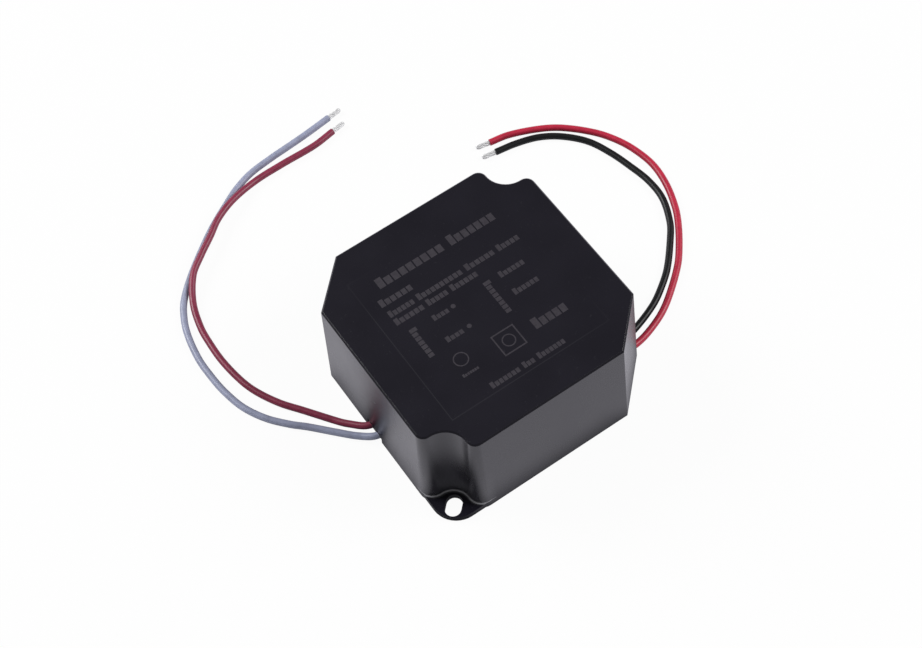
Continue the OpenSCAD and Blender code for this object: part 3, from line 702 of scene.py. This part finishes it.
bm = bmesh.new()
for side, y, laid in ROUTES.values():
    collar(bm, side, y)
bmesh.ops.remove_doubles(bm, verts=bm.verts, dist=SAME_PLACE * MM)
bmesh.ops.recalc_face_normals(bm, faces=bm.faces)
bmesh.ops.transform(bm, verts=bm.verts, matrix=ALONG_WALLS)
collars = piece_from(bm, "potting_collars", smooth=lambda face: True)
finished(collars, potting_compound)
print("collar faces:", len(collars.data.polygons))

# %% [markdown]
# ## The potting's skin
#
# The compound was poured with the case upside down, and before it cured it climbed the walls a
# little, as any liquid does. That meniscus is why a potted part never looks like a block in a
# box. The skin starts as the potting's own flat underside, so it follows every curve of the case.
# Five narrow insets make rings along the wall, and each ring is lowered less than the one before.

# %% Skin with a meniscus
CLIMB = 0.4
REACH = 1.2
RINGS = 5
SKIN = 0.12
SKIN_STANDS_OUT = 0.01


def inset(bm, face, width):
    """Draws a face's outline inwards by an even width; gives the faces of the border."""
    border = bmesh.ops.inset_region(
        bm, faces=[face], thickness=width * MM, use_boundary=True, use_even_offset=True,
    )
    return border["faces"]


bm = bmesh.new()
bm.from_mesh(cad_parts["potting"].data)
bmesh.ops.remove_doubles(bm, verts=bm.verts, dist=SAME_PLACE * MM)
level = low("potting")
inner = [f for f in bm.faces if not all(at_height(v, level) for v in f.verts)]
bmesh.ops.delete(bm, geom=inner, context="FACES")
surface = bmesh.ops.dissolve_faces(bm, faces=bm.faces[:])["region"][0]
for ring in range(RINGS):
    climb = CLIMB * (1 - ring / RINGS) ** 2
    for v in surface.verts:
        v.co.z = (level - climb) * MM
    inset(bm, surface, REACH / RINGS)
for v in surface.verts:
    v.co.z = (level - SKIN_STANDS_OUT) * MM
bmesh.ops.triangulate(bm, faces=[f for f in bm.faces if len(f.verts) > 4])
bmesh.ops.recalc_face_normals(bm, faces=bm.faces)
bmesh.ops.solidify(bm, geom=bm.faces[:], thickness=SKIN * MM)
skin = finished(piece_from(bm, "potting_skin"), potting_compound)
lowest = min(v.co.z for v in skin.data.vertices) / MM
print("skin:", len(skin.data.polygons), "faces, lowest", round(lowest, 2), "mm")

# %% [markdown]
# ## Rating marks
#
# Pad printing lays a film of ink about two hundredths of a millimetre thick on the sunken field
# of the top. A texture could show it, but real film has a place and an edge, so each mark is a
# thin closed solid. A word is a run of small blocks, one where each letter would be, which the
# eye takes for small print. The other marks are plain rings, a frame and dots.

# %% Ink
def printed(name, tint):
    paint = Paint(name)
    worn = paint.between(paint.noise(0.35, detail=4, roughness=0.7), 0.42, 0.62)
    paint.set(Base_Color=paint.mix(worn * 0.45, tint, scaled(tint, 0.4)))
    paint.set(Roughness=paint.between(paint.noise(1.5), 0.3, 0.7, 0.42, 0.55))
    paint.set(Normal=paint.bump(paint.noise(0.2, detail=2), 0.004))
    return paint


marking_ink = printed("marking_ink", colour(50, 46, 54))
print("made", marking_ink.material.name)

# %% Words made of blocks
INK = 0.02
SUNK = 0.01
LETTERS_PER_HEIGHT = 1.5
LETTER_WIDTH = 0.82
SMALL_LETTER = 0.74


def block(bm, base, x, y, width, height):
    """One printed block, with its lower left corner at x, y of the word's own base."""
    centre = Vector((x + width / 2, y + height / 2, FIELD + INK / 2 - SUNK)) * MM
    size = Matrix.Diagonal(Vector((width, height, INK, 1 / MM)) * MM)
    place = ALONG_WALLS @ base @ Matrix.Translation(centre)
    bmesh.ops.create_cube(bm, size=1, matrix=place @ size)


def word(bm, x, y, length, height, turn=0):
    """A run of letter-sized blocks from x, y, of which the first stands as tall as a capital."""
    base = Matrix.Translation(Vector((x, y, 0)) * MM) @ Matrix.Rotation(radians(turn), 4, "Z")
    letters = max(1, round(length / height * LETTERS_PER_HEIGHT))
    step = length / letters
    for i in range(letters):
        tall = height if i == 0 else height * SMALL_LETTER
        block(bm, base, i * step, -height / 2, step * LETTER_WIDTH, tall)


# %% Rings, frames and dots
def outline_mark(bm, x, y, radius, sides, line, turn=0.0):
    """A ring of that line width, a square frame if it has four sides, or a dot if no line."""
    turned = ALONG_WALLS @ Matrix.Rotation(radians(turn), 4, "Z")
    disc = bmesh.ops.create_circle(
        bm, cap_ends=True, radius=radius * MM, segments=sides,
        matrix=Matrix.Translation(spot(x, y, FIELD - SUNK)) @ turned,
    )
    face = disc["verts"][0].link_faces[0]
    printed_faces = [face]
    if line:
        printed_faces = inset(bm, face, line)
        bmesh.ops.delete(bm, geom=[face], context="FACES_ONLY")
    film = bmesh.ops.extrude_face_region(bm, geom=printed_faces, use_keep_orig=True)["geom"]
    upper = [g for g in film if isinstance(g, bmesh.types.BMVert)]
    bmesh.ops.translate(bm, verts=upper, vec=UP * INK * MM)


# %% Print the marks
bm = bmesh.new()
for x, y, length, height in [
    (-16, 18, 18.6, 3), (4.2, 18, 13.1, 3),
    (-18.5, 13, 9, 2.2),
    (-18.3, 9.4, 7, 1.9), (-10.4, 9.4, 12.6, 1.9), (3.2, 9.4, 8.2, 1.9), (12.3, 9.4, 6.2, 1.9),
    (-18.3, 6.8, 8, 1.9), (-9.4, 6.8, 5.8, 1.9), (-2.7, 6.8, 7.5, 1.9),
    (-10.6, 2.5, 4.4, 1.6), (-11.3, -4.1, 4.8, 1.6),
    (8.5, 3, 7, 1.8), (8.5, -2.8, 7, 1.8),
    (7.1, -12.6, 9.3, 3),
    (-9.9, -20, 8, 1.7), (-1, -20, 3.2, 1.7), (3.1, -20, 7.5, 1.7),
]:
    word(bm, x, y, length, height)
word(bm, -16, 3.2, 9.2, 1.9, turn=-90)
word(bm, 5, 3.5, 10.3, 1.9, turn=-90)
outline_mark(bm, 0.3, -12.6, 4.4, 4, 0.35, turn=45)
outline_mark(bm, 0.3, -12.6, 1.7, 24, 0.3)
outline_mark(bm, -11.4, -10.2, 1.9, 24, 0.3)
outline_mark(bm, -4.9, 2.5, 0.6, 16, 0)
outline_mark(bm, -4.9, -4.1, 0.6, 16, 0)
word(bm, -13.6, -14.2, 4.4, 0.9)
bmesh.ops.recalc_face_normals(bm, faces=bm.faces)
marks = finished(piece_from(bm, "rating_marks"), marking_ink)
print("printed faces:", len(marks.data.polygons))

# %% [markdown]
# ## White floor
#
# The floor is white paper. It is lit like any paper, so it keeps the soft shadow, and to the
# camera and to reflections it also glows a little, so that it reads as pure white. That matters
# for the black plastic: seen from above, its walls mirror the floor, and that mirror image is
# nearly all the light that comes off them. A glow knows no shadow, though. So the mirrored paper
# is made dark where real paper lies in shade: close to the object, which ambient occlusion
# finds, and round the slots, under the ears.

# %% What the case mirrors
SLOT = 39.1
SHADE_REACH = 6
SHADE_TO_OPEN = (0.35, 0.92)
UNDER_EAR_TO_CLEAR = (4.6, 10)
MIRRORED_SHADE, MIRRORED_PAPER = (0.1, 0.1, 0.11, 1), (0.85, 0.835, 0.91, 1)


def distance(a, b):
    """The distance that two offsets at right angles make."""
    return (a * a + b * b).math("SQRT")


floor_paint = Paint("white_paper")
openness = floor_paint.node(
    "ShaderNodeAmbientOcclusion", {"Distance": SHADE_REACH * MM}, output="AO", samples=12,
)
from_slots = abs(floor_paint.along(THROUGH_SLOTS)) - SLOT
from_axis = floor_paint.along(ACROSS_SLOTS)
clear_of_ears = floor_paint.between(distance(from_slots, from_axis), *UNDER_EAR_TO_CLEAR)
open_sky = floor_paint.between(openness, *SHADE_TO_OPEN) * clear_of_ears
mirrored = floor_paint.mix(open_sky, MIRRORED_SHADE, MIRRORED_PAPER)

# %% White paper
WHITE, GREY_PAPER = (1, 1, 1, 1), (0.8, 0.8, 0.8, 1)
GLOW_SHARE = 0.95

by_camera = floor_paint.ray("Camera")
by_gloss = floor_paint.ray("Glossy")
by_glass = floor_paint.ray("Transmission")
glowing = {"Color": floor_paint.mix(by_gloss, WHITE, mirrored), "Strength": 1}
glow = floor_paint.node("ShaderNodeEmission", glowing)
seen = (by_camera | by_glass) * GLOW_SHARE | by_gloss
paper = floor_paint.node("ShaderNodeBsdfDiffuse", {"Color": GREY_PAPER})
mixed = floor_paint.node("ShaderNodeMixShader", {0: seen, 1: paper, 2: glow})
floor_paint.join(mixed, floor_paint.tree.nodes["Material Output"].inputs["Surface"])
print("made", floor_paint.material.name)

# %% Floor
FLOOR_HALF = 40

bm = bmesh.new()
bmesh.ops.create_grid(bm, x_segments=1, y_segments=1, size=FLOOR_HALF)
floor = piece_from(bm, "floor")
bpy.context.scene.collection.objects.link(floor)
floor.data.materials.append(floor_paint.material)
print("floor:", 2 * FLOOR_HALF, "m wide")

# %% [markdown]
# ## Light
#
# A dim, even room keeps the top of the case nearly black, because a level face mirrors what is
# above it. The camera alone sees the room as light as the far floor, which then has no horizon
# when the case is looked at from low down. Two broad soft lamps stand left and right, a little
# behind the case, and give the leads their long highlights.

# %% Dim room, soft lamps
ROOM = 0.19
FAR_FLOOR = 0.958
LAMP_WIDTH = 0.7
LAMP_WATTS = 13
LAMP_AIM = Vector((0, 0, 0.015))

world = bpy.data.worlds.new("studio")
bpy.context.scene.world = world
world.use_nodes = True
room = Nodes(world.node_tree)
background = room.tree.nodes["Background"].inputs
background["Color"].default_value = WHITE
room.join(room.ray("Camera") * (FAR_FLOOR - ROOM) + ROOM, background["Strength"])
bpy.context.scene.view_settings.view_transform = "Standard"


def softbox(name, place):
    lamp = bpy.data.lights.new(name, "AREA")
    lamp.shape = "DISK"
    lamp.size = LAMP_WIDTH
    lamp.energy = LAMP_WATTS
    box = bpy.data.objects.new(name, lamp)
    bpy.context.scene.collection.objects.link(box)
    box.location = place
    box.rotation_mode = "QUATERNION"
    box.rotation_quaternion = (LAMP_AIM - Vector(place)).to_track_quat("-Z", "Y")


softbox("left_softbox", (0.2, 1.0, 0.8))
softbox("right_softbox", (0.3, -1.0, 0.9))

# %% [markdown]
# ## Parts on legs
#
# Under the potting hangs a board full of parts, and each is one solid with its legs. So a part's
# finish has to turn from lacquer or plastic into tinned metal where the legs begin. A mask says
# where: below a height, or beyond a distance from the middle of the part. Everything else about
# the finish, its colour, gloss and relief, is handed in.

# %% A body and its legs
TINNED = colour(206, 204, 200)
TINNED_ROUGHNESS = 0.28
BOARD_TOP = high("circuit_board")
SEATED = BOARD_TOP + 0.05
DIPPED = BOARD_TOP + 1.1
RAISED = BOARD_TOP + 1.5


def dress(paint, *names):
    for name in names:
        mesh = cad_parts[name].data
        mesh.materials.clear()
        mesh.materials.append(paint.material)


def legs_below(paint, height):
    return paint.along(UP) < height


def on_legs(paint, legs, body, shine, relief, depth):
    """The body's colour, roughness and relief above, and tinned metal wherever legs is 1."""
    paint.set(Base_Color=paint.mix(legs, body, TINNED), Metallic=legs)
    paint.set(Roughness=legs * TINNED_ROUGHNESS + (1 - legs) * shine)
    paint.set(Normal=paint.bump(relief * (1 - legs), depth))
    return paint


def plain_part(name, tint, shine, legs_to, patch, depth):
    """A dipped or moulded part in one colour: patch and depth give the size of its unevenness."""
    paint = Paint(name)
    blotch = paint.noise(patch, detail=3)
    body = paint.mix(blotch, scaled(tint, 0.82), scaled(tint, 1.15))
    shine = paint.between(blotch, 0.3, 0.7, shine - 0.05, shine + 0.07)
    return on_legs(paint, legs_below(paint, legs_to), body, shine, blotch, depth)


for node, name, tint, shine, legs_to, patch, depth in [
    ("fuse", "fuse_case", colour(74, 48, 32), 0.35, SEATED, 1.2, 0.03),
    ("x_capacitor", "yellow_case", colour(214, 172, 58), 0.4, SEATED, 0.5, 0.01),
    ("snubber_capacitor", "red_film", colour(150, 42, 34), 0.16, SEATED, 2.5, 0.15),
    ("varistor", "varistor_lacquer", colour(42, 78, 150), 0.22, DIPPED, 1.8, 0.12),
    ("y_capacitor", "ceramic_lacquer", colour(40, 92, 165), 0.22, DIPPED, 1.5, 0.1),
    ("shunt_regulator", "small_package", colour(32, 32, 34), 0.5, RAISED, 0.3, 0.01),
]:
    dress(plain_part(name, tint, shine, legs_to, patch, depth), node)
print("dressed the plain parts")

# %% [markdown]
# ## Flat packages
#
# A dual in-line package has its legs along two sides, so its mask is a distance from the middle
# line. A small dimple beside the first leg tells which way round it goes.

# %% Chips
PACKAGE_HALF = 3.2
DIMPLE_OFF_AXIS = 2
DIMPLE_EDGE = (0.45, 0.6)


def package(name, node, tint, first_leg):
    paint = Paint(name)
    centre = middle(node)
    across = paint.along(WALL_Y, centre)
    beside = paint.along(WALL_X, centre) + first_leg
    dimple = paint.between(distance(beside, across + DIMPLE_OFF_AXIS), *DIMPLE_EDGE)
    grain = paint.noise(0.25, detail=3)
    body = paint.mix(grain, scaled(tint, 0.85), scaled(tint, 1.15))
    return on_legs(paint, abs(across) > PACKAGE_HALF, body, 0.5, grain * 0.1 + dimple, 0.12)


dress(package("bridge_package", "bridge_rectifier", colour(30, 30, 32), 3), "bridge_rectifier")
dress(package("chip_package", "controller_chip", colour(30, 30, 32), 3.6), "controller_chip")
dress(package("white_package", "optocoupler", colour(214, 212, 204), 1.3), "optocoupler")
print("dressed the packages")

# %% [markdown]
# ## Parts that lie on two wires
#
# Resistors and diodes carry painted bands. A colour ramp with constant steps, read along the
# part's own length, paints them all at once. Where two like parts lie in a line, the distance is
# folded about the point halfway between them, and so one finish serves both.

# %% Banded parts
def banded(name, node, length, tint, bands, shine, half_gap):
    """Each band is a start, a width and a colour, and the first two are shares of the length."""
    paint = Paint(name)
    run = paint.along(WALL_X, middle(node))
    if half_gap:
        run = abs(run) - half_gap
    stops = [(0, tint)]
    for start, width, band in bands:
        stops += [(start, band), (start + width, tint)]
    share = paint.between(run, -length / 2, length / 2)
    body = paint.node("ShaderNodeValToRGB", {"Fac": share}, stops=stops, interpolation="CONSTANT")
    skin = paint.noise(0.6, detail=3)
    return on_legs(paint, abs(run) > length / 2, body, shine, skin, 0.02)


BROWN, BLACK, ORANGE = colour(92, 52, 30), colour(24, 22, 22), colour(214, 104, 34)
GOLD, SILVER = colour(176, 140, 62), colour(190, 190, 192)
BEIGE, GREY, DARK = colour(206, 184, 140), colour(142, 152, 158), colour(28, 28, 30)
VALUE = [(0.14, 0.09, BROWN), (0.31, 0.09, BLACK), (0.48, 0.09, ORANGE), (0.76, 0.09, GOLD)]
CATHODE = [(0.76, 0.12, SILVER)]
for node, name, length, tint, bands, shine, half_gap in [
    ("small_resistors", "beige_lacquer", 5, BEIGE, VALUE, 0.32, 5.04),
    ("snubber_resistor", "grey_ceramic", 7.6, GREY, VALUE, 0.5, 0),
    ("snubber_diode", "diode_body", 5.2, DARK, CATHODE, 0.32, 0),
    ("output_rectifier", "rectifier_body", 9.4, DARK, CATHODE, 0.32, 0),
]:
    dress(banded(name, node, length, tint, bands, shine, half_gap), node)
print("dressed the banded parts")

# %% [markdown]
# ## Cans
#
# An electrolytic capacitor is an aluminium can in a shrunk plastic sleeve. The sleeve leaves the
# lid bare, and the lid is scored with a cross so that it can open under pressure. A pale stripe
# down the sleeve marks the negative leg.

# %% Sleeved cans
SLEEVE_TURNED_IN = 0.8
LID_DEPTH = 0.3
STRIPE_FROM = 0.86
STRIPE_DEPTH = 0.5
SCORE_EDGE = (0.12, 0.3)
LID_METAL = colour(208, 209, 211)


def sleeved_can(name, node, radius, tint, half_gap):
    paint = Paint(name)
    centre = middle(node)
    x = paint.along(WALL_X, centre)
    y = paint.along(WALL_Y, centre)
    if half_gap:
        y = abs(y) - half_gap
    away = distance(x, y)
    lid = (away < radius - SLEEVE_TURNED_IN) * (paint.along(UP) > high(node) - LID_DEPTH)
    bare = lid | legs_below(paint, SEATED)
    stripe = (x > radius * STRIPE_FROM) * (away > radius - STRIPE_DEPTH)
    score = 1 - paint.between(abs(x).math("MINIMUM", abs(y)), *SCORE_EDGE)
    sleeve = paint.mix(stripe * 0.8, tint, colour(196, 200, 204))
    paint.set(Base_Color=paint.mix(bare, sleeve, LID_METAL), Metallic=bare)
    paint.set(Roughness=paint.between(paint.noise(2), 0.3, 0.7, 0.2, 0.32) + bare * 0.08)
    paint.set(Normal=paint.bump(paint.noise(1.4) * 0.1 - score * lid, 0.15))
    return paint


for node, name, radius, tint, half_gap in [
    ("bulk_capacitor", "bulk_sleeve", 8, colour(30, 32, 82), 0),
    ("output_capacitors", "output_sleeve", 5, colour(24, 62, 50), 5.95),
]:
    dress(sleeved_can(name, node, radius, tint, half_gap), node)
print("dressed the cans")

# %% [markdown]
# ## Cores and windings
#
# Ferrite is a grey ceramic, dull and faintly speckled. A winding is wire lying turn beside turn,
# too fine to model here, so a wave along the coil gives the ridges: up the drum of the output
# choke, along the transformer's tube, and by angle round the ring. The enamel tints the copper
# and adds its own clear gloss, which a coat stands for.

# %% Ferrite
def ferrite(name, tint):
    paint = Paint(name)
    speckle = paint.noise(0.2, detail=4, roughness=0.7)
    body = paint.mix(speckle, scaled(tint, 0.7), scaled(tint, 1.3))
    return on_legs(paint, legs_below(paint, SEATED), body, 0.62, speckle, 0.02)


ferrite_core = ferrite("ferrite", colour(66, 66, 70))
dress(ferrite_core, "choke_core", "transformer_core", "output_choke_core")


# %% Enamelled wire
RING_RADIUS = 4.65


def wound(name, run_of, pitch):
    """run_of gives the distance along the coil, from the material that it belongs to."""
    paint = Paint(name)
    ridge = paint.ridges(run_of(paint), pitch)
    legs = legs_below(paint, SEATED)
    enamel = paint.mix(ridge, colour(116, 52, 22), colour(196, 108, 58))
    paint.set(Base_Color=paint.mix(legs, enamel, TINNED), Metallic=1.0)
    paint.set(Roughness=paint.between(paint.noise(0.8), 0.3, 0.7, 0.26, 0.38))
    paint.set(Normal=paint.bump(ridge * (1 - legs), pitch / 2))
    paint.set(Coat_Weight=0.6, Coat_Roughness=0.15)
    return paint


def round_ring(paint):
    """Millimetres round the choke's ring, at its mean radius."""
    centre = middle("choke_core")
    angle = paint.along(WALL_Y, centre).math("ARCTAN2", paint.along(WALL_X, centre))
    return angle * RING_RADIUS


dress(wound("choke_wire", round_ring, 0.7), "choke_windings")
dress(wound("transformer_wire", lambda paint: paint.along(WALL_X), 0.35), "transformer_windings")
dress(wound("drum_wire", lambda paint: paint.along(UP), 0.45), "output_choke_winding")
print("dressed the wound parts")

# %% [markdown]
# ## Bobbin and tape
#
# The bobbin is a hard black moulding with tinned pins. The tape round the windings is thin
# yellow polyester: glossy, wrinkled a little along the coil, with the edges of its layers
# showing as fine lines.

# %% Bobbin and tape
LAYER_PITCH = 3.1
LAYER_EDGE = (0.92, 1)

bobbin = plain_part("bobbin_plastic", colour(36, 36, 38), 0.38, SEATED, 0.8, 0.015)
dress(bobbin, "transformer_bobbin")

tape = Paint("yellow_tape")
layers = tape.ridges(tape.along(WALL_X), LAYER_PITCH)
wrinkle = tape.noise(2.2, detail=2)
tape.set(Base_Color=tape.mix(layers * 0.5, colour(232, 196, 62), colour(206, 158, 40)))
tape.set(Roughness=tape.between(wrinkle, 0.3, 0.7, 0.16, 0.26))
tape.set(Normal=tape.bump(wrinkle + tape.between(layers, *LAYER_EDGE), 0.06))
dress(tape, "transformer_tape")
print("dressed bobbin and tape")

# %% [markdown]
# ## The board
#
# The board is glass cloth in resin, with copper on its underside and green lacquer over all.
# Copper under lacquer shows as a lighter green. Its pours are big rectangles with etched gaps,
# and that is just what a brick pattern draws: large bricks, thin mortar. At the edges and in the
# holes the saw and the drill left bare laminate.

# %% Board
BRICK = 8
GAP = 0.04
THREAD = 0.6
LACQUER = 0.02

board = Paint("board_laminate")
bricks = [1 / (BRICK * MM)] * 3
turned = board.node(
    "ShaderNodeMapping", {"Vector": board.place, "Rotation": (0, 0, radians(45)), "Scale": bricks},
)
brick_wall = {"Vector": turned, "Scale": 1.0, "Mortar Size": GAP, "Mortar Smooth": 0.0}
gaps = board.node("ShaderNodeTexBrick", brick_wall, output="Fac")
weave = board.ridges(board.along(WALL_X), THREAD) * board.ridges(board.along(WALL_Y), THREAD)
height = board.along(UP)
faces = (height > BOARD_TOP - LACQUER) | (height < low("circuit_board") + LACQUER)
green = board.mix(gaps, colour(44, 122, 66), colour(22, 78, 42))
cloth = board.mix(weave, colour(150, 140, 92), colour(186, 176, 124))
board.set(Base_Color=board.mix(faces, cloth, green))
board.set(Roughness=0.62 - faces * 0.32)
board.set(Normal=board.bump(weave * 0.3 - gaps * faces, 0.03))
dress(board, "circuit_board")
print("dressed the board")

# %% [markdown]
# ## The rest
#
# The case, the potting, the solder and the bare inner ends take the finishes made at the start.

# %% Dress the rest
dress(case_plastic, "housing")
dress(potting_compound, "potting")
dress(solder, "solder_joints")
dress(bare_copper, "lead_ends")
in_use = {m.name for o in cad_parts.values() for m in o.data.materials}
print("materials in use:", len(in_use))
